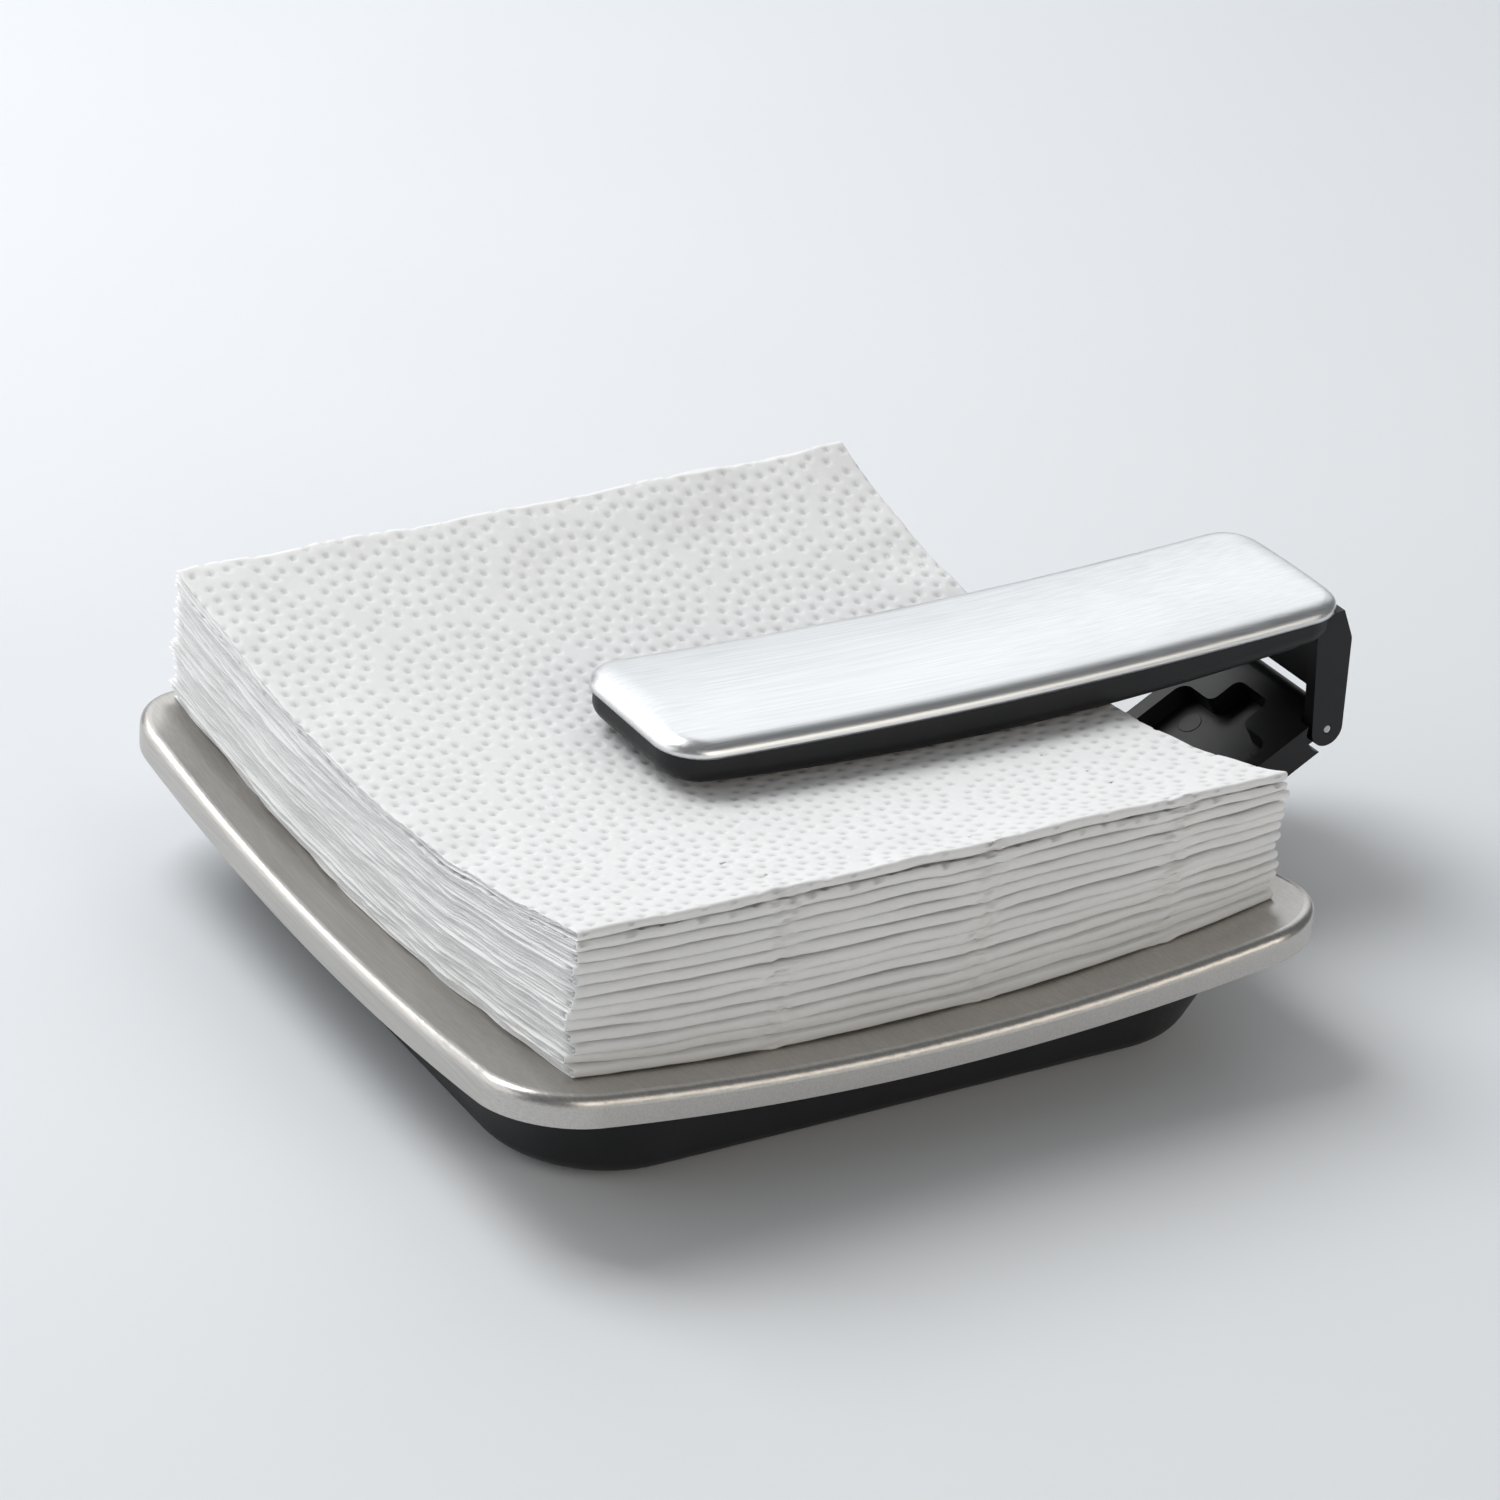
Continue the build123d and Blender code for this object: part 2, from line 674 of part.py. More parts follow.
def make_friction_washers():
    washers = []
    for side in SIDES:
        start = side * (barrel_half() + WASHER_SIDE_GAP)
        low, high = sorted((start, start + side * WASHER_THICKNESS))
        washer = on_pin(WASHER_R, low, high) - on_pin(PIN_R + PIN_RUNNING_GAP, -BIG, BIG)
        washers.append(washer)
    return Compound(children=washers)


# ---------------------------------------------------------------- napkins


def sheet_z(level):
    """Lowest height of the face under napkin number level, counted from 0 at the tray."""
    bottom = DISH_LOW_Z + STACK_FLOOR_GAP
    return bottom + (stack_top_z() - bottom) * level / NAPKIN_COUNT


def stack_top_z():
    return BELLY_LOW_Z - STACK_TO_ARM_GAP


def sheet_shape(level):
    """Where a face is lowest along Y, and its bend radii across X and along Y."""
    share = min(1.0, level / (NAPKIN_COUNT - 1))
    to_pull_axis = stack_top_z() + PULL_RADIUS - sheet_z(level)
    across_x = (1 - share) / DISH_RADIUS + share / TOP_BEND_X
    along_y = (1 - share) / DISH_RADIUS + share / to_pull_axis
    return share * BELLY_LOW_Y, 1 / across_x, 1 / along_y


def region_over(level, lift):
    """All that lies over a face of the stack, as one turned solid."""
    low_y, bend_x, bend_y = sheet_shape(level)
    low_z = sheet_z(level) + lift
    half, top = NAPKIN_SIDE * NAPKIN_REACH, low_z + TALL
    edge_z = low_z + bend_x - math.sqrt(bend_x**2 - half**2)
    section = make_face(
        [
            ThreePointArc((-half, edge_z), (0, low_z), (half, edge_z)),
            Polyline((half, edge_z), (half, top), (-half, top), (-half, edge_z)),
        ]
    )
    section = Plane((0, low_y, 0), x_dir=(1, 0, 0), z_dir=(0, -1, 0)) * section
    axis = Axis((0, low_y, low_z + bend_y), (1, 0, 0))
    swing = math.degrees(math.asin((half + low_y) / (bend_y - TALL)))
    return revolve(section.rotate(axis, -swing), axis, 2 * swing)


def make_napkin(number):
    """One folded napkin as a bent slab; number 0 lies on the tray."""
    slab = region_over(number, 0) - region_over(number + 1, -NAPKIN_GAP)
    outline = plan(NAPKIN_SIDE, NAPKIN_SIDE, NAPKIN_CORNER_R)
    outline = Pos(STACK_X, STACK_Y) * Rot(0, 0, STACK_YAW_DEG) * outline
    return slab & upright(outline, 0, TALL * 2)


# ---------------------------------------------------------------- assembly


def make_all():
    nodes = {
        "tray": make_tray(),
        "tray_studs": make_tray_studs(),
        "base_shell": make_base_shell(),
        "base_screws": make_base_screws(),
        "feet": make_feet(),
        "ballast_plate": make_ballast_plate(),
        "hinge_bracket": make_hinge_bracket(),
        "bracket_plugs": make_bracket_plugs(),
        "bracket_screws": make_bracket_screws(),
        "rear_foot": make_rear_foot(),
        "hinge_bushes": make_hinge_bushes(),
        "hinge_pin": make_hinge_pin(),
        "friction_washers": make_friction_washers(),
        "arm_shell": make_arm_shell(),
        "arm_weight": make_arm_weight(),
        "arm_cover": make_arm_cover(),
    }
    for number in range(NAPKIN_COUNT):
        nodes[f"napkin_{number + 1:02d}"] = make_napkin(number)
    return nodes


def main():
    nodes = make_all()
    boxes = [shape.bounding_box() for shape in nodes.values()]
    front = min(box.min.Y for box in boxes)
    rear = max(box.max.Y for box in boxes)
    to_middle = Pos(0, -(front + rear) / 2, 0)
    os.makedirs("parts", exist_ok=True)
    for name, shape in nodes.items():
        export_step(to_middle * shape, f"parts/{name}.step")
    print("moved along Y by", round(-(front + rear) / 2, 3))


main()
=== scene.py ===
"""Looks of the napkin dispenser: a steel tray on a black base, a stack of folded
paper napkins, and a weighted arm with a steel cover that holds them down.

Metres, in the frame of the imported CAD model: origin on the table, +Y to the hinge.
"""

import math

import bpy
import numpy as np
from mathutils import Matrix, Vector, kdtree


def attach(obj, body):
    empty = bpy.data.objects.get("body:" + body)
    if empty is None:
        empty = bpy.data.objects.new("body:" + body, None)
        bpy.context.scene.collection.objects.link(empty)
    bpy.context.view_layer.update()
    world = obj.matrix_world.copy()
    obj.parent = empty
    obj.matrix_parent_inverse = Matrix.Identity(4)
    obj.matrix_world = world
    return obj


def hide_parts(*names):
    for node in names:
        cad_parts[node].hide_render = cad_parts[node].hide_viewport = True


# camera
CAMERA_PLACE = Vector((0.7368, -0.5030, 0.4989))
CAMERA_AZIMUTH = math.radians(56.7043)
CAMERA_ELEVATION = math.radians(27.3303)
CAMERA_ROLL = math.radians(5.2504)
CAMERA_LENS = 117.66
CAMERA_SENSOR = 36.0

# the stack, as it lies: its edges, the arm's valley across it, and its upturned sides,
# whose bends are given at the front and at the back
NAPKINS = 13
STACK_X_LOW = -0.0861
STACK_X_HIGH = 0.0769
STACK_Y_LOW = -0.10575
STACK_Y_HIGH = 0.05725
STACK_YAW = math.radians(1.3)
DISH_LOW_Z = 0.0191
DISH_RADIUS = 0.543
DISH_CENTRE_Y = -0.02545
TOP_LOW_Z = 0.0457
TOP_LOW_Y = 0.01655
TOP_RADIUS_Y = 1.3
TOP_BEND_LEFT = (1.30, 2.27)
TOP_BEND_RIGHT = (1.75, 2.35)
TOP_SWELL = 0.002

# the arm's steel cover: its plan, the curved line that it sits on, and its rolled edges
COVER_HALF_WIDTH = 0.0206
COVER_FRONT_Y = -0.04895
COVER_REAR_Y = 0.11505
COVER_CORNER = 0.009
COVER_SEAT_Y = 0.00315
COVER_SEAT_Z = 0.0552
COVER_SEAT_RADIUS = 1.36
COVER_LIP = 0.0005
COVER_SHOULDER = 0.0016
COVER_CROWN = 0.0011
COVER_SIDE_ROLL = 0.0026
COVER_END_ROLL = 0.0070
COVER_GAUGE = 0.0007

# one napkin: a square sheet folded in four
FLAT_SIDE = 0.326
FOLDED_SIDE = FLAT_SIDE / 2
PAPER = 0.00022
LAYER = 0.0005
FOLD_ARC = 0.0015
FOLD_DEPTH = 0.0006
CRIMP_PLACES = (-0.0605, -0.0145, 0.0305)
CRIMP_WIDTH = 0.0036
DIMPLE_RADIUS = 0.00115
DIMPLE_DEPTH = 0.0005
DIMPLE_SPACING = 0.0040
DIMPLE_RING = 0.0037
ROSETTE_PITCH = 0.046
ROSETTE_SHIFT_X = 0.012
ROSETTE_SHIFT_Y = 0.020

# how unevenly the napkins lie: whole sheets, their edges and folds, and waves in the paper
SHEET_SHIFT = 0.00032
EDGE_WANDER = 0.00055
FOLD_WANDER_Y = 0.0003
FOLD_WANDER_X = 0.00045
CRIMP_WANDER = 0.0005
RIPPLE_SHARED = 0.00030
RIPPLE_OWN = 0.00018
RIPPLE_PRESSED = 0.00024
RIPPLE_LAYER = 0.00010
RIPPLE_REACH = 0.030
PRESSED_REACH = 0.008
LAYER_REACH = 0.025

# the pitch of the sheets' grids: plain paper, the loose edges, the crimped bands, embossed paper
PITCH = 0.0034
PITCH_EDGE = 0.0026
PITCH_CRIMP = 0.0012
PITCH_TOP = 0.0007
PITCH_BELOW_TOP = 0.0011
CRIMP_BAND = 0.0045
EDGE_FROM_ACROSS = 0.150
EDGE_FROM_ALONG = 0.152


# ---------------------------------------------------------------- small helpers
def aim(obj, place, target):
    """Puts obj at place, facing target."""
    obj.location = place
    obj.rotation_euler = (Vector(target) - Vector(place)).to_track_quat("-Z", "Y").to_euler()


def smooth(value):
    """0 to 1 with level ends."""
    t = np.clip(value, 0.0, 1.0)
    return t * t * (3.0 - 2.0 * t)


def waves(rng, longest, shortest, count=9):
    """A seeded smooth noise of two coordinates, about -1 to 1, with wavelengths in that range."""
    lengths = np.geomspace(longest, shortest, count)
    angles = rng.uniform(0.0, 2.0 * math.pi, count)
    phases = rng.uniform(0.0, 2.0 * math.pi, count)
    heights = np.sqrt(lengths / longest)
    total = np.sqrt(np.sum(heights**2) / 2.0) * 1.6

    def value(a, b):
        result = np.zeros(np.broadcast(a, b).shape)
        for length, angle, phase, height in zip(lengths, angles, phases, heights):
            along = (a * math.cos(angle) + b * math.sin(angle)) * 2.0 * math.pi / length
            result += height * np.sin(along + phase)
        return result / total

    return value


# ---------------------------------------------------------------- materials
class Nodes:
    """The node tree of a new material, with short ways to add and join nodes."""

    def __init__(self, name):
        self.material = bpy.data.materials.new(name)
        self.material.use_nodes = True
        self.tree = self.material.node_tree
        self.shader = self.tree.nodes["Principled BSDF"]
        self.place = self.add("ShaderNodeTexCoord").outputs["Object"]

    def add(self, kind, **values):
        node = self.tree.nodes.new(kind)
        for name, value in values.items():
            setattr(node, name, value)
        return node

    def join(self, start, end):
        self.tree.links.new(start, end)

    def set(self, **values):
        for name, value in values.items():
            self.shader.inputs[name.replace("_", " ")].default_value = value

    def scaled(self, scale):
        node = self.add("ShaderNodeMapping")
        node.inputs["Scale"].default_value = scale
        self.join(self.place, node.inputs["Vector"])
        return node.outputs["Vector"]

    def noise(self, scale, detail=3.0, roughness=0.55, stretch=(1.0, 1.0, 1.0)):
        node = self.add("ShaderNodeTexNoise")
        node.inputs["Scale"].default_value = scale
        node.inputs["Detail"].default_value = detail
        node.inputs["Roughness"].default_value = roughness
        self.join(self.scaled(stretch), node.inputs["Vector"])
        return node.outputs["Fac"]

    def spread(self, value, low, high, start=0.3, stop=0.7):
        node = self.add("ShaderNodeMapRange")
        node.inputs["From Min"].default_value = start
        node.inputs["From Max"].default_value = stop
        node.inputs["To Min"].default_value = low
        node.inputs["To Max"].default_value = high
        self.join(value, node.inputs["Value"])
        return node.outputs["Result"]

    def ramp(self, value, *stops):
        node = self.add("ShaderNodeValToRGB")
        while len(node.color_ramp.elements) < len(stops):
            node.color_ramp.elements.new(0.5)
        for element, (position, colour) in zip(node.color_ramp.elements, stops):
            element.position = position
            element.color = (*colour, 1.0)
        self.join(value, node.inputs["Fac"])
        return node.outputs["Color"]

    def bump(self, *heights):
        """Bumps from (height, strength, distance in metres), one upon another."""
        below = None
        for height, strength, distance in heights:
            node = self.add("ShaderNodeBump")
            node.inputs["Strength"].default_value = strength
            node.inputs["Distance"].default_value = distance
            self.join(height, node.inputs["Height"])
            if below is not None:
                self.join(below, node.inputs["Normal"])
            below = node.outputs["Normal"]
        self.join(below, self.shader.inputs["Normal"])


def brushed_steel(name, stretch, tint=(0.53, 0.512, 0.488), rough=(0.27, 0.40)):
    """Steel with fine scratches along the axis that stretch leaves short."""
    m = Nodes(name)
    m.set(Metallic=1.0)
    fine = m.noise(1.0, 4.0, 0.6, stretch)
    broad = m.noise(1.0, 2.0, 0.5, tuple(s * 0.22 for s in stretch))
    clouds = m.noise(28.0, 3.0, 0.5)
    lighter = tuple(min(1.0, c * 1.12) for c in tint)
    darker = tuple(c * 0.9 for c in tint)
    m.join(m.ramp(fine, (0.3, darker), (0.7, lighter)), m.shader.inputs["Base Color"])
    mixed = m.add("ShaderNodeMath", operation="ADD")
    m.join(m.spread(fine, rough[0] * 0.6, rough[1] * 0.6), mixed.inputs[0])
    m.join(m.spread(clouds, rough[0] * 0.4, rough[1] * 0.4), mixed.inputs[1])
    m.join(mixed.outputs["Value"], m.shader.inputs["Roughness"])
    m.bump((broad, 0.10, 0.00003), (fine, 0.22, 0.00002))
    return m.material


def plain_steel(name):
    """Drawn wire and screws: bright, with turned marks."""
    m = Nodes(name)
    m.set(Metallic=1.0)
    grain = m.noise(900.0, 3.0, 0.6, (0.15, 1.0, 1.0))
    colour = m.ramp(grain, (0.3, (0.42, 0.42, 0.43)), (0.7, (0.66, 0.66, 0.67)))
    m.join(colour, m.shader.inputs["Base Color"])
    m.join(m.spread(grain, 0.22, 0.38), m.shader.inputs["Roughness"])
    m.bump((grain, 0.2, 0.00002))
    return m.material


def cast_iron(name):
    """Grey sand-cast iron."""
    m = Nodes(name)
    m.set(Metallic=1.0)
    lumps = m.noise(260.0, 4.0, 0.6)
    grains = m.noise(1500.0, 3.0, 0.6)
    colour = m.ramp(lumps, (0.3, (0.10, 0.10, 0.10)), (0.7, (0.22, 0.21, 0.20)))
    m.join(colour, m.shader.inputs["Base Color"])
    m.join(m.spread(grains, 0.55, 0.8), m.shader.inputs["Roughness"])
    m.bump((lumps, 0.4, 0.0003), (grains, 0.4, 0.0001))
    return m.material


def black_plastic(name, rough=(0.36, 0.50)):
    """Moulded plastic with a spark-eroded texture and a soft sheen."""
    m = Nodes(name)
    m.set(IOR=1.38)
    texture = m.noise(4200.0, 2.0, 0.5)
    flow = m.noise(60.0, 3.0, 0.5)
    colour = m.ramp(flow, (0.3, (0.007, 0.007, 0.008)), (0.7, (0.011, 0.011, 0.013)))
    m.join(colour, m.shader.inputs["Base Color"])
    m.join(m.spread(texture, rough[0], rough[1]), m.shader.inputs["Roughness"])
    m.bump((flow, 0.08, 0.0002), (texture, 0.16, 0.00003))
    return m.material


def rubber(name):
    """Matt black rubber with a dusty bloom."""
    m = Nodes(name)
    bloom = m.noise(220.0, 4.0, 0.6)
    colour = m.ramp(bloom, (0.35, (0.016, 0.016, 0.016)), (0.75, (0.035, 0.034, 0.033)))
    m.join(colour, m.shader.inputs["Base Color"])
    m.join(m.spread(bloom, 0.75, 0.95), m.shader.inputs["Roughness"])
    m.bump((bloom, 0.2, 0.00008))
    return m.material


def tissue(name):
    """Soft white paper with short fibres and faint crepe lines, and painted shade in its embossed
    dimples.
    """
    m = Nodes(name)
    m.set(Subsurface_Weight=0.22, Subsurface_Scale=0.0012, Sheen_Weight=0.12, Sheen_Roughness=0.6)
    m.shader.inputs["Subsurface Radius"].default_value = (1.0, 0.9, 0.8)
    m.shader.inputs["Specular IOR Level"].default_value = 0.25
    fibres = m.noise(1500.0, 4.0, 0.65)
    crepe = m.noise(520.0, 3.0, 0.6, (1.0, 2.6, 1.0))
    clouds = m.noise(70.0, 3.0, 0.5)
    paper = m.ramp(clouds, (0.3, (0.865, 0.868, 0.862)), (0.7, (0.905, 0.905, 0.900)))
    # painted shade: the embossed dimples are coloured grey, darker the deeper they are
    pressed = m.add("ShaderNodeAttribute", attribute_name="dimple_shade")
    mixed = m.add("ShaderNodeMix", data_type="RGBA")
    m.join(pressed.outputs["Fac"], mixed.inputs["Factor"])
    m.join(paper, mixed.inputs["A"])
    mixed.inputs["B"].default_value = (0.60, 0.605, 0.60, 1.0)
    m.join(mixed.outputs["Result"], m.shader.inputs["Base Color"])
    m.join(m.spread(fibres, 0.82, 0.98), m.shader.inputs["Roughness"])
    m.bump((crepe, 0.30, 0.00016), (fibres, 0.45, 0.00009))
    return m.material


def floor_paint(name):
    """A pale studio floor."""
    m = Nodes(name)
    m.shader.inputs["Specular IOR Level"].default_value = 0.2
    mottle = m.noise(9.0, 3.0, 0.5)
    colour = m.ramp(mottle, (0.3, (0.79, 0.815, 0.84)), (0.7, (0.80, 0.825, 0.85)))
    m.join(colour, m.shader.inputs["Base Color"])
    m.join(m.spread(mottle, 0.72, 0.8), m.shader.inputs["Roughness"])
    return m.material


def dress(frame, material, *names):
    """Gives the CAD nodes this material."""
    for name in names:
        for slot in frame["nodes"][name].material_slots:
            slot.material = material


# ---------------------------------------------------------------- the stack's shape
def dish_z(x, y):
    """The tray's inner face, where the stack lies."""
    return DISH_LOW_Z + (x**2 + (y - DISH_CENTRE_Y) ** 2) / (2.0 * DISH_RADIUS)


def top_z(x, y):
    """The stack's top: a valley under the arm, with both sides turned up."""
    back = np.clip((y - STACK_Y_LOW) / (STACK_Y_HIGH - STACK_Y_LOW), 0.0, 1.0)
    left = TOP_BEND_LEFT[0] + (TOP_BEND_LEFT[1] - TOP_BEND_LEFT[0]) * back
    right = TOP_BEND_RIGHT[0] + (TOP_BEND_RIGHT[1] - TOP_BEND_RIGHT[0]) * back
    swell = TOP_SWELL * (x / STACK_X_HIGH) ** 2 * (1.0 - (2.0 * back - 1.0) ** 2)
    valley = TOP_LOW_Z + (y - TOP_LOW_Y) ** 2 / (2.0 * TOP_RADIUS_Y)
    return valley + np.where(x < 0.0, left, right) * x**2 + swell


def edge_share(x, y, reach):
    """1 at the stack's edges, and 0 from that far inside."""
    inside_x = np.minimum(x - STACK_X_LOW, STACK_X_HIGH - x)
    inside_y = np.minimum(y - STACK_Y_LOW, STACK_Y_HIGH - y)
    return 1.0 - smooth(np.minimum(inside_x, inside_y) / reach)


def crimp_share(y):
    """1 in the pressed bands across the folded edges, and 0 away from them."""
    return sum(np.exp(-(((y - place) / CRIMP_WIDTH) ** 2)) for place in CRIMP_PLACES)


class Levels:
    """The faces between one napkin and the next, from 0 on the tray to NAPKINS on top."""

    def __init__(self):
        common = np.random.default_rng(71)
        self.shared = waves(common, 0.070, 0.018)
        faces = range(NAPKINS + 1)
        self.own = [waves(np.random.default_rng(100 + n), 0.045, 0.012) for n in faces]
        self.small = [waves(np.random.default_rng(200 + n), 0.006, 0.0022, 7) for n in faces]

    def z(self, n, x, y):
        share = n / NAPKINS
        lift = min(1.0, n / 3.0) * edge_share(x, y, RIPPLE_REACH)
        crimp = crimp_share(y) * edge_share(x, y, PRESSED_REACH) * (x > 0.0)
        ripple = RIPPLE_SHARED * self.shared(x, y) + RIPPLE_OWN * self.own[n](x, y)
        pressed = RIPPLE_PRESSED * self.small[n](x, y) * crimp
        flat = (1.0 - share) * dish_z(x, y) + share * top_z(x, y)
        return flat + lift * (ripple + pressed)


def spans(*pieces):
    """Distances from a fold to the loose edge, from (start, stop, pitch) pieces."""
    found = [0.0]
    for start, stop, pitch in pieces:
        count = max(1, round((stop - start) / pitch))
        found.extend(start + (stop - start) * (i + 1) / count for i in range(count))
    return np.array(found)


def both_sides(lower, upper):
    """One line of distances along the whole sheet, negative before the fold."""
    return np.concatenate([-lower[::-1], upper[1:]])


def fold(distance, arc, depth):
    """How far a point is set in by the fold, and its share of the fold's half height."""
    turn = np.clip(distance / arc, 0.0, 1.0) * math.pi / 2.0
    return depth * (1.0 - np.cos(turn)), np.sin(turn)


def rosette_dots():
    """The places of the embossed dimples: rings round the centres of a hexagonal lattice."""
    centres = []
    for row in range(-4, 5):
        for column in range(-4, 5):
            x = (column + 0.5 * (row % 2)) * ROSETTE_PITCH
            y = row * ROSETTE_PITCH * math.sqrt(3.0) / 2.0
            centres.append((x - ROSETTE_SHIFT_X, y - ROSETTE_SHIFT_Y))
    centres = np.array(centres)
    dots = []
    for own, (cx, cy) in enumerate(centres):
        for ring in range(1, 9):
            radius = (ring - 0.4) * DIMPLE_RING
            count = round(2.0 * math.pi * radius / DIMPLE_SPACING)
            angles = np.arange(count) * 2.0 * math.pi / count + ring * 0.7
            places = np.stack([cx + radius * np.cos(angles), cy + radius * np.sin(angles)], 1)
            gaps = np.linalg.norm(places[:, None] - centres[None], axis=2)
            dots.extend(places[np.argmin(gaps, axis=1) == own])
    return apart(dots)


def apart(dots):
    """The dots without those that would run into an earlier one."""
    kept = []
    for dot in dots:
        if not kept or np.min(np.linalg.norm(np.array(kept) - dot, axis=1)) > 2.3 * DIMPLE_RADIUS:
            kept.append(dot)
    return kept


def dimple_finder():
    """A function of arrays x and y that gives how deep the embossing is there."""
    dots = rosette_dots()
    tree = kdtree.KDTree(len(dots))
    for i, (x, y) in enumerate(dots):
        tree.insert((x, y, 0.0), i)
    tree.balance()

    def depth(x, y):
        gaps = np.array([tree.find((a, b, 0.0))[2] for a, b in zip(x.flat, y.flat)])
        share = np.clip(1.0 - (gaps / DIMPLE_RADIUS) ** 2, 0.0, 1.0)
        return (DIMPLE_DEPTH * share**1.5).reshape(x.shape)

    return depth


def sheet_grid(fine_pitch):
    """The two lines of distances along the sheet. The top layer may be finer than the rest."""
    crimp = [STACK_Y_HIGH - place for place in reversed(CRIMP_PLACES)]
    start = (0.0, FOLD_ARC, FOLD_ARC / 3.0)
    across = spans(
        start,
        (FOLD_ARC, EDGE_FROM_ACROSS, PITCH),
        (EDGE_FROM_ACROSS, FOLDED_SIDE, PITCH_EDGE),
    )
    parts = [start]
    last = FOLD_ARC
    for place in crimp:
        parts.append((last, place - CRIMP_BAND, PITCH))
        parts.append((place - CRIMP_BAND, place + CRIMP_BAND, PITCH_CRIMP))
        last = place + CRIMP_BAND
    parts.append((last, EDGE_FROM_ALONG, PITCH))
    parts.append((EDGE_FROM_ALONG, FOLDED_SIDE, PITCH_EDGE))
    along = spans(*parts)
    if fine_pitch is None:
        return both_sides(along, along), both_sides(across, across)
    fine = spans(start, (FOLD_ARC, FOLDED_SIDE, fine_pitch))
    return both_sides(fine, along), both_sides(across, fine)


def folded_points(index, levels, grid):
    """The points of one napkin: first folded at +Y, then at +X. Its loose edges are at -X and -Y."""
    rng = np.random.default_rng(500 + index)
    u, v = np.meshgrid(grid[0], grid[1])
    edge_y = [waves(rng, 0.120, 0.0035) for _ in range(2)]
    edge_x = [waves(rng, 0.120, 0.0035) for _ in range(2)]
    fold_wave = waves(rng, 0.090, 0.012)
    crimp_wave = waves(rng, 0.007, 0.0024, 7)
    paper_wave = waves(rng, 0.030, 0.006)
    shift_x, shift_y = rng.normal(0.0, SHEET_SHIFT, 2)

    set_in, turn = fold(np.abs(u), FOLD_ARC, FOLD_DEPTH)
    inner = 0.5 * np.sign(u) * turn
    wander_y = np.where(u < 0.0, edge_y[0](v, 0.0), edge_y[1](v, 0.0))
    loose_y = STACK_Y_LOW + shift_y + EDGE_WANDER * wander_y
    run_y = np.clip((np.abs(u) - FOLD_ARC) / (FOLDED_SIDE - FOLD_ARC), 0.0, 1.0)
    high_y = STACK_Y_HIGH + shift_y + FOLD_WANDER_Y * fold_wave(v, 0.05)
    y = high_y - set_in - run_y * (high_y - FOLD_DEPTH - loose_y)

    crimp = np.clip(crimp_share(y), 0.0, 1.0)
    height = 1.0 - inner
    depth = FOLD_DEPTH * height / 1.5 * (1.0 - 0.55 * crimp)
    set_in, turn = fold(np.abs(v), FOLD_ARC * height / 1.5, 1.0)
    wander_x = np.where(v < 0.0, edge_x[0](u, 0.0), edge_x[1](u, 0.0))
    loose_x = STACK_X_LOW + shift_x + EDGE_WANDER * wander_x
    run_x = np.clip((np.abs(v) - FOLD_ARC) / (FOLDED_SIDE - FOLD_ARC), 0.0, 1.0)
    high_x = STACK_X_HIGH + shift_x + FOLD_WANDER_X * fold_wave(0.3, y) - (1.5 - height) * LAYER
    high_x = high_x + crimp * CRIMP_WANDER * crimp_wave(y, v * 4.0)
    x = high_x - depth * set_in - run_x * (high_x - depth - loose_x)
    layer = np.sign(v) * height * turn

    low = levels.z(index, x, y)
    high = levels.z(index + 1, x, y)
    z = low + (high - low) * (layer + 2.0) / 4.0
    apart_x = x + 0.1 * np.sign(v)
    apart_y = y + 0.1 * np.sign(u)
    z += RIPPLE_LAYER * paper_wave(apart_x, apart_y) * edge_share(x, y, LAYER_REACH)
    return u, v, x, y, z


def turned(x, y):
    """The stack lies a little askew on the tray."""
    centre_x = (STACK_X_LOW + STACK_X_HIGH) / 2.0
    centre_y = (STACK_Y_LOW + STACK_Y_HIGH) / 2.0
    cos, sin = math.cos(STACK_YAW), math.sin(STACK_YAW)
    return (
        centre_x + cos * (x - centre_x) - sin * (y - centre_y),
        centre_y + sin * (x - centre_x) + cos * (y - centre_y),
    )


def grid_faces(rows, columns):
    """The quads of a grid of points."""
    corner = np.arange(rows - 1)[:, None] * columns + np.arange(columns - 1)[None]
    return np.stack([corner, corner + 1, corner + columns + 1, corner + columns], 2).reshape(-1, 4)


def thicken(obj, thickness, inward):
    """Gives a sheet its thickness, under its face or half on each side of it."""
    solid = obj.modifiers.new("Thickness", "SOLIDIFY")
    solid.thickness = thickness
    solid.offset = -1.0 if inward else 0.0
    view = bpy.context.evaluated_depsgraph_get()
    mesh = bpy.data.meshes.new_from_object(obj.evaluated_get(view))
    obj.modifiers.clear()
    obj.data = mesh
    mesh.polygons.foreach_set("use_smooth", [True] * len(mesh.polygons))


def make_napkin(index, levels, material, dimples):
    """One folded napkin as a real sheet, in the place of its CAD slab."""
    top = index == NAPKINS - 1
    fine_pitch = {NAPKINS - 1: PITCH_TOP, NAPKINS - 2: PITCH_BELOW_TOP}.get(index)
    u, v, x, y, z = folded_points(index, levels, sheet_grid(fine_pitch))
    embossing = np.zeros(x.shape)
    if fine_pitch:
        upper = (u < 0.0) & (v > 0.0)
        embossing[upper] = dimples(x[upper], y[upper])
    z -= embossing
    x, y = turned(x, y)
    points = np.stack([x, y, z], 2).reshape(-1, 3)
    name = f"napkin_{index + 1:02d}"
    mesh = bpy.data.meshes.new(f"folded_{name}")
    mesh.from_pydata(points.tolist(), [], grid_faces(*x.shape).tolist())
    mesh.materials.append(material)
    # the dimples' depth share, which the tissue material turns into painted shade in them
    marks = mesh.attributes.new("dimple_shade", "FLOAT", "POINT")
    marks.data.foreach_set("value", (embossing / DIMPLE_DEPTH).ravel())
    obj = bpy.data.objects.new(f"folded_{name}", mesh)
    bpy.context.scene.collection.objects.link(obj)
    thicken(obj, PAPER, inward=False)
    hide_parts(name)
    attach(obj, "top_napkin" if top else "base")
    return obj


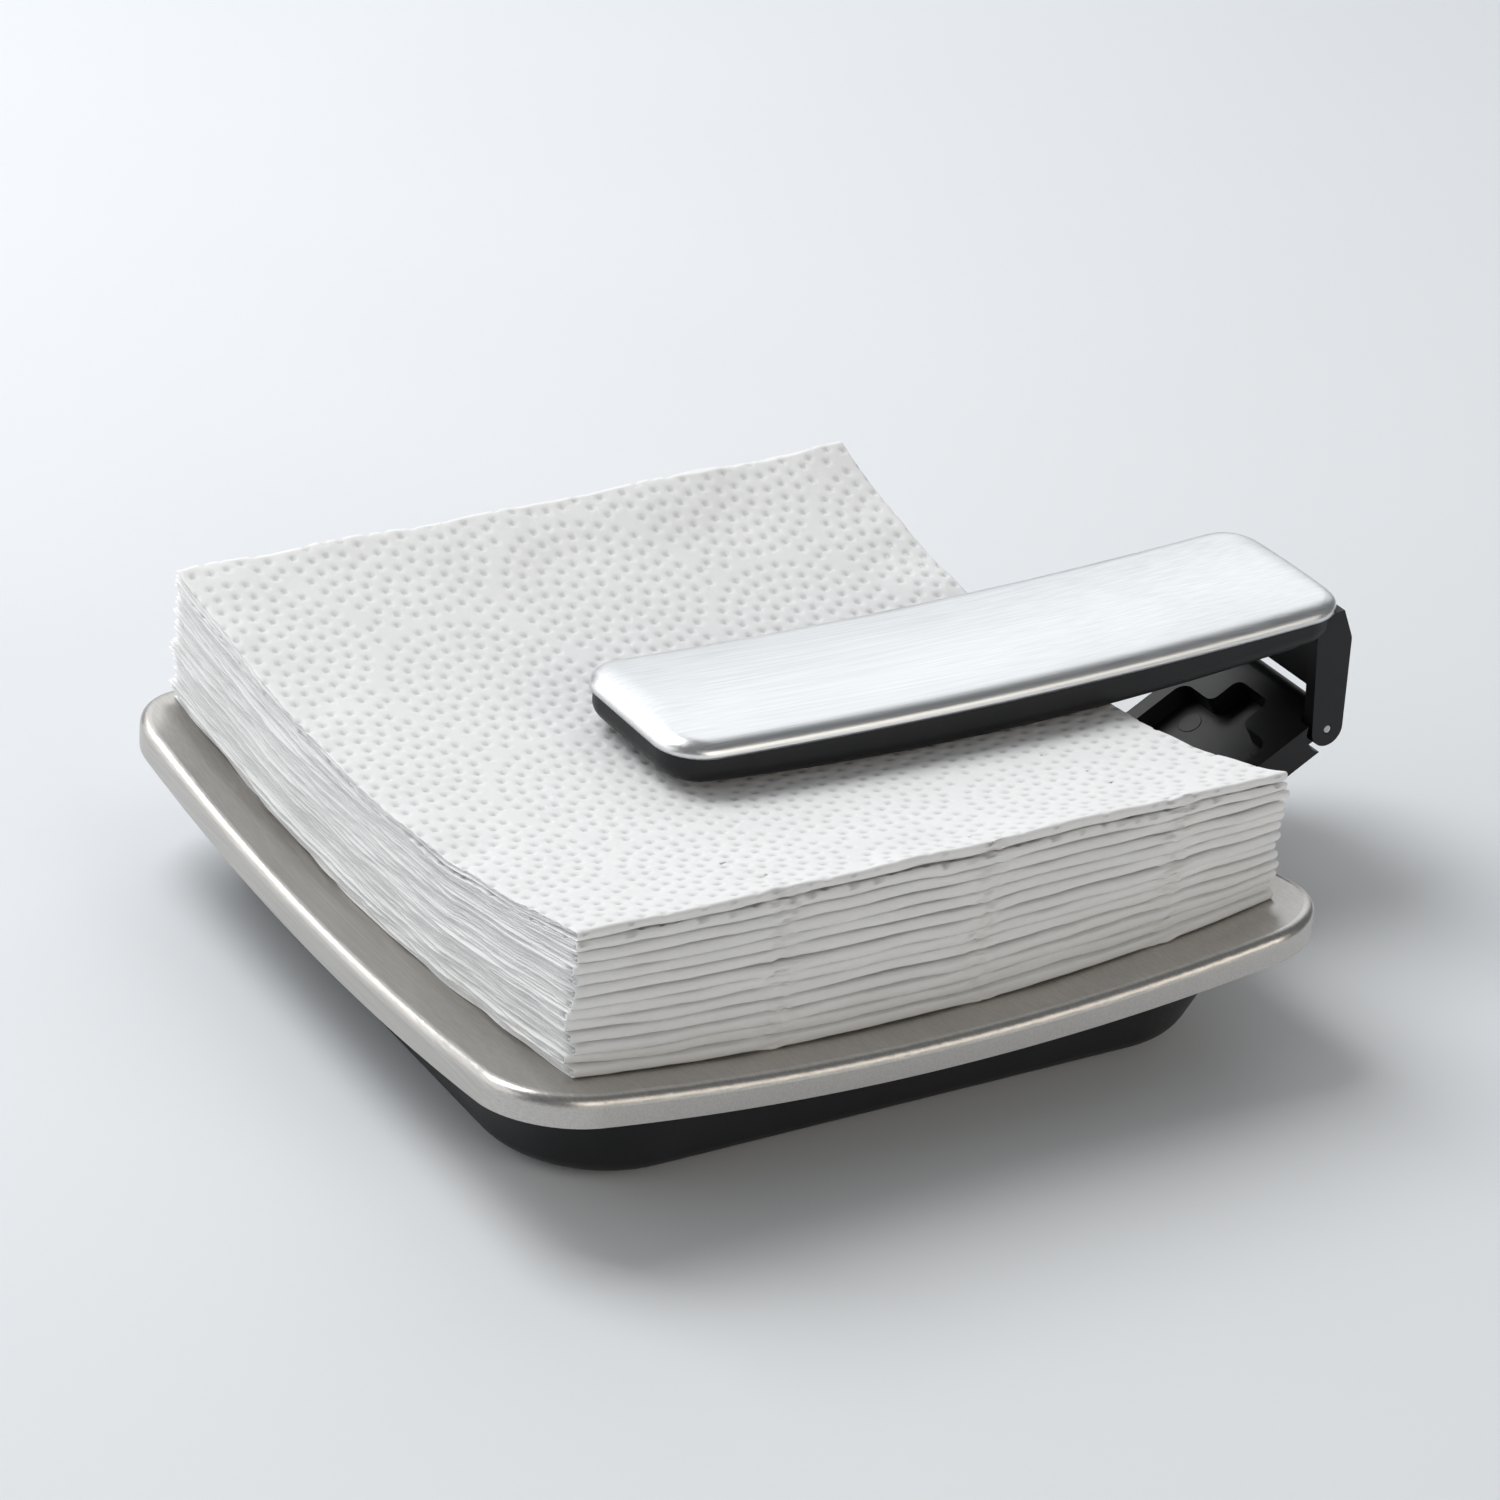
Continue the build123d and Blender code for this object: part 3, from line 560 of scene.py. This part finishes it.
def make_stack():
    """All the napkins, each built as a folded sheet on the one below it."""
    levels = Levels()
    material = tissue("napkin_tissue")
    dimples = dimple_finder()
    for index in range(NAPKINS):
        napkin = make_napkin(index, levels, material, dimples)


# ---------------------------------------------------------------- the arm's cover
def bent_line(half, corner, steps):
    """Places from -half to half, close together near the ends."""
    turn = np.sin(np.linspace(0.0, math.pi / 2.0, steps))
    ends = half - corner + corner * turn
    middle = np.linspace(-(half - corner), half - corner, 3 * steps)[1:-1]
    return np.concatenate([-ends[::-1], middle, ends])


def quarter(value):
    """A quarter circle's rise, 0 to 1."""
    t = np.clip(value, 0.0, 1.0)
    return np.sqrt(1.0 - (1.0 - t) ** 2)


def cover_points():
    """The cover's outer face: crowned across, rolled over at the sides and further at both ends."""
    half_length = (COVER_REAR_Y - COVER_FRONT_Y) / 2.0
    middle_y = (COVER_REAR_Y + COVER_FRONT_Y) / 2.0
    a, b = np.meshgrid(
        bent_line(COVER_HALF_WIDTH, COVER_CORNER, 14),
        bent_line(1.0, 0.12, 26),
        indexing="ij",
    )
    past_corner = np.clip(np.abs(a) - (COVER_HALF_WIDTH - COVER_CORNER), 0.0, COVER_CORNER)
    reach = half_length - COVER_CORNER + np.sqrt(COVER_CORNER**2 - past_corner**2)
    x, y = a, b * reach
    over_x = np.abs(x) - (COVER_HALF_WIDTH - COVER_CORNER)
    over_y = np.abs(y) - (half_length - COVER_CORNER)
    outside = np.hypot(np.maximum(over_x, 0.0), np.maximum(over_y, 0.0))
    inset = COVER_CORNER - outside - np.minimum(np.maximum(over_x, over_y), 0.0)
    side_share = quarter(inset / COVER_SIDE_ROLL)
    share = side_share * quarter((half_length - np.abs(y) + 0.0004) / COVER_END_ROLL)
    y = y + middle_y
    seat = COVER_SEAT_Z + (y - COVER_SEAT_Y) ** 2 / (2.0 * COVER_SEAT_RADIUS)
    crown = COVER_CROWN * (1.0 - (x / COVER_HALF_WIDTH) ** 2)
    return x, y, seat, seat + COVER_LIP + share * (COVER_SHOULDER + crown)


def make_cover(material):
    """The pressed steel cover, with a turned-down lip all round."""
    x, y, seat, top = cover_points()
    rows, columns = x.shape
    points = np.stack([x, y, top], 2).reshape(-1, 3).tolist()
    faces = grid_faces(rows, columns).tolist()
    number = np.arange(rows * columns).reshape(rows, columns)
    rim = np.concatenate([number[0], number[1:, -1], number[-1, -2::-1], number[-2:0:-1, 0]])
    first = len(points)
    foot = np.stack([x, y, seat], 2).reshape(-1, 3)
    points.extend(foot[rim].tolist())
    for i, corner in enumerate(rim):
        following = (i + 1) % len(rim)
        faces.append([int(rim[following]), int(corner), first + i, first + following])
    mesh = bpy.data.meshes.new("pressed_cover")
    mesh.from_pydata(points, [], faces)
    mesh.materials.append(material)
    obj = bpy.data.objects.new("pressed_cover", mesh)
    bpy.context.scene.collection.objects.link(obj)
    thicken(obj, COVER_GAUGE, inward=True)
    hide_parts("arm_cover")
    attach(obj, "arm")


# ---------------------------------------------------------------- the stage
def make_camera():
    """The photograph's point of view."""
    azimuth, elevation, roll = CAMERA_AZIMUTH, CAMERA_ELEVATION, CAMERA_ROLL
    back = Vector((
        math.sin(azimuth) * math.cos(elevation),
        -math.cos(azimuth) * math.cos(elevation),
        math.sin(elevation),
    ))
    level = Vector((math.cos(azimuth), math.sin(azimuth), 0.0))
    rise = back.cross(level)
    right = level * math.cos(roll) + rise * math.sin(roll)
    up = rise * math.cos(roll) - level * math.sin(roll)
    data = bpy.data.cameras.new("camera")
    data.lens = CAMERA_LENS
    data.sensor_width = CAMERA_SENSOR
    camera = bpy.data.objects.new("camera", data)
    turn = Matrix((right, up, back)).transposed().to_4x4()
    camera.matrix_world = Matrix.Translation(CAMERA_PLACE) @ turn
    bpy.context.scene.collection.objects.link(camera)
    bpy.context.scene.camera = camera


def make_softbox(name, place, target, size, power, colour=(1.0, 1.0, 1.0)):
    """A wide soft lamp."""
    data = bpy.data.lights.new(name, "AREA")
    data.shape = "RECTANGLE"
    data.size, data.size_y = size
    data.energy = power
    data.color = colour
    lamp = bpy.data.objects.new(name, data)
    bpy.context.scene.collection.objects.link(lamp)
    aim(lamp, place, target)


def make_studio():
    """A pale floor, a high key lamp, wide lamps at the left and behind, one aimed at the far floor,
    and a weak warm one at the right."""
    bpy.ops.mesh.primitive_plane_add(size=30.0, location=(0.0, 0.0, 0.0))
    floor = bpy.context.object
    floor.name = "floor"
    floor.data.materials.append(floor_paint("floor_paint"))
    centre = (0.0, 0.0, 0.03)
    far_floor = (-1.30, 0.88, 0.0)
    cool = (0.97, 0.985, 1.0)
    warm = (1.0, 0.92, 0.82)
    make_softbox("softbox_key", (-0.72, -0.40, 1.15), centre, (0.8, 0.8), 13.0)
    make_softbox("softbox_left", (-1.00, -1.70, 0.85), centre, (3.4, 1.6), 19.0)
    make_softbox("softbox_back", (-2.60, 1.70, 1.45), centre, (4.4, 2.2), 23.0, cool)
    make_softbox("softbox_floor", (-1.50, 1.00, 1.50), far_floor, (1.8, 1.8), 6.0, cool)
    make_softbox("softbox_right", (1.30, 0.35, 0.55), centre, (1.0, 0.8), 5.0, warm)
    world = bpy.data.worlds.new("studio")
    world.use_nodes = True
    sky = world.node_tree.nodes["Background"]
    sky.inputs["Color"].default_value = (0.92, 0.96, 1.0, 1.0)
    sky.inputs["Strength"].default_value = 0.19
    bpy.context.scene.world = world
    bpy.context.scene.view_settings.view_transform = "Standard"


# ---------------------------------------------------------------- all of it
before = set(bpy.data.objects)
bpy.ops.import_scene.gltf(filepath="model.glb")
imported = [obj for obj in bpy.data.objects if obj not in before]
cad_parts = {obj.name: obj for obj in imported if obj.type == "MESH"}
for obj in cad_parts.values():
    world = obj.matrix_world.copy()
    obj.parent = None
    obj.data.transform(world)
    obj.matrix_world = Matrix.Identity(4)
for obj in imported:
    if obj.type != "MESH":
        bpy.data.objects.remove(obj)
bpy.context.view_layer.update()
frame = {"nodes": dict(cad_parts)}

make_camera()
make_studio()
dress(frame, brushed_steel("tray_steel", (30.0, 2600.0, 2600.0)), "tray")
dress(frame, plain_steel("drawn_steel"), "tray_studs", "base_screws", "bracket_screws", "hinge_pin")
dress(frame, cast_iron("grey_iron"), "ballast_plate", "arm_weight")
satin = black_plastic("satin_plastic")
dress(frame, satin, "base_shell", "hinge_bracket", "bracket_plugs", "arm_shell")
dress(frame, black_plastic("bush_plastic", (0.28, 0.36)), "hinge_bushes", "friction_washers")
dress(frame, rubber("foot_rubber"), "feet", "rear_foot")
make_cover(brushed_steel("cover_steel", (2600.0, 30.0, 2600.0), (0.74, 0.75, 0.755)))
make_stack()
